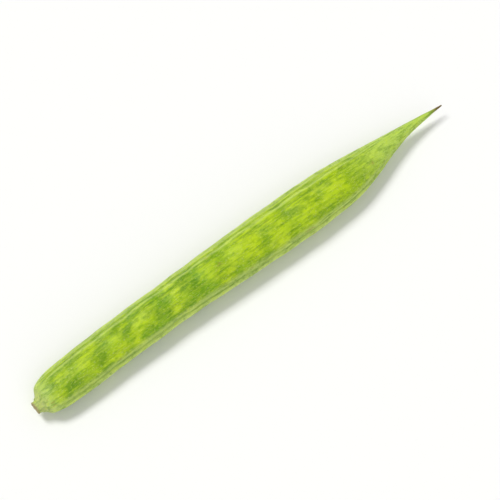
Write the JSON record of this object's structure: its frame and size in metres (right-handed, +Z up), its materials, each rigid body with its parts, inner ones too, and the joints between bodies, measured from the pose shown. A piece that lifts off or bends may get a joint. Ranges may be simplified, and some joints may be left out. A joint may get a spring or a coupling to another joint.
{
  "type": "cluster bean",
  "caption": "Slender green legume pod, slightly flattened, with ridged sutures, a snapped stalk stub and a tapering beak, lying on its side.",
  "frame": {"origin": "the middle of the pod's box, on the surface it lies on", "axes": "+X along the pod towards the beak, +Y towards the dorsal suture, +Z up through the flat faces"},
  "size_m": [0.1, 0.0102, 0.0068],
  "materials": {
    "pod_skin": "matte fresh plant skin, faintly velvety, paler along the sutures and the beak"
  },
  "bodies": {
    "root": {"pod": "pod_skin"}
  },
  "joints": []
}
